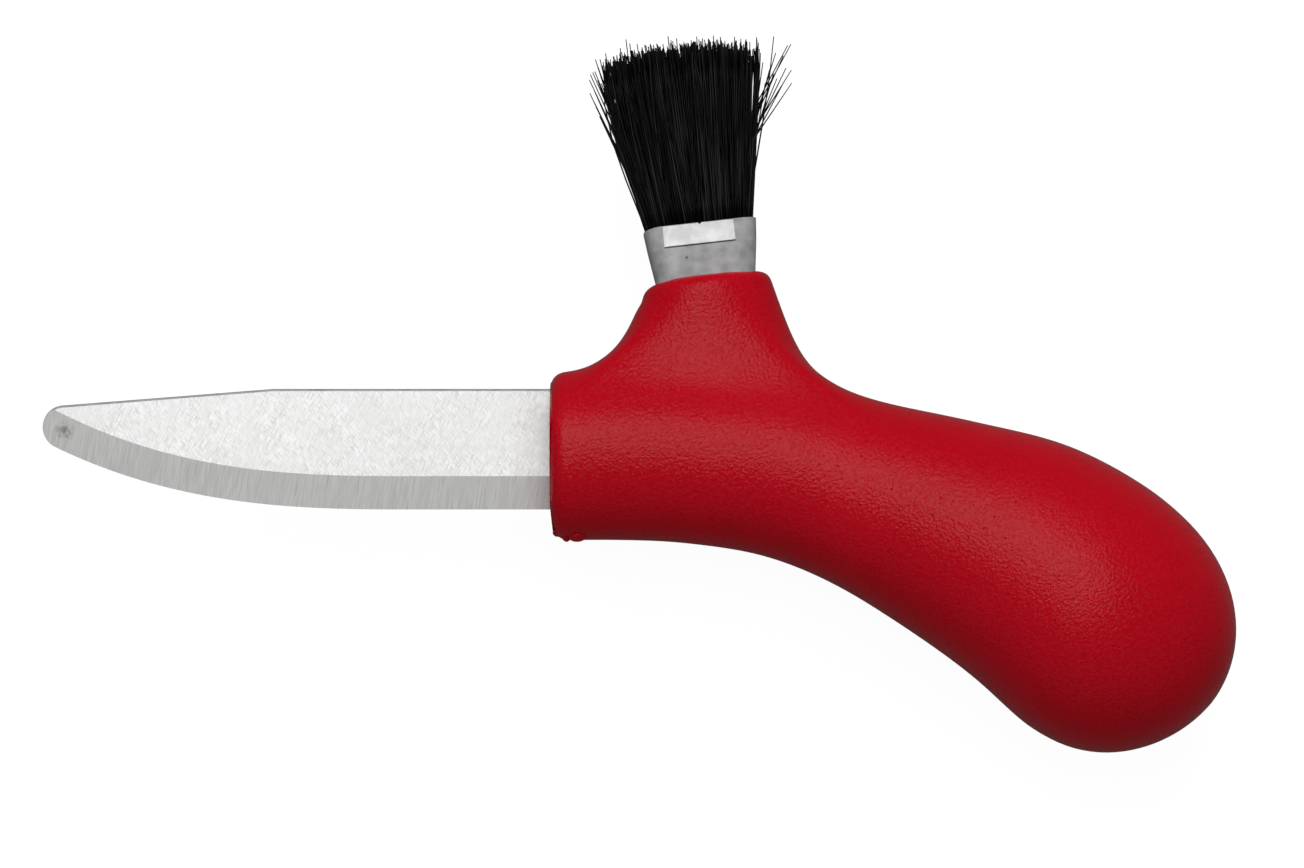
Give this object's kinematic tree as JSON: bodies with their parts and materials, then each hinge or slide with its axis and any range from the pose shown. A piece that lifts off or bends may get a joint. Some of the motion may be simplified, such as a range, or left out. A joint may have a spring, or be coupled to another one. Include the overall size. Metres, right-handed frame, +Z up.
{
  "type": "mushroom knife with brush",
  "caption": "Mushroom knife with a short round-nosed ground blade, a bulbous palm handle of red plastic, and a small bristle brush that stands in a flared collar on the handle's back.",
  "frame": {"origin": "Middle of the footprint, at the lowest point of the knife as it lies on its side.", "axes": "+X from the blade's nose to the butt of the handle, +Y from the handle to the brush, +Z up, square to the flats of the blade."},
  "size_m": [0.1458, 0.0878, 0.0285],
  "materials": {
    "steel": "fine crossed polish on the flats, ground bevels",
    "red_plastic": "satin with a fine moulded grain",
    "ferrule_metal": "plain pressed sheet",
    "resin": "cast resin",
    "bristle": "black filament"
  },
  "bodies": {
    "root": {"blade": "steel", "handle": "red_plastic", "brush_ferrule": "ferrule_metal", "brush_setting": "resin", "bristles_upper_front": "bristle", "bristles_upper_back": "bristle", "bristles_lower_front": "bristle", "bristles_lower_back": "bristle"}
  },
  "joints": []
}
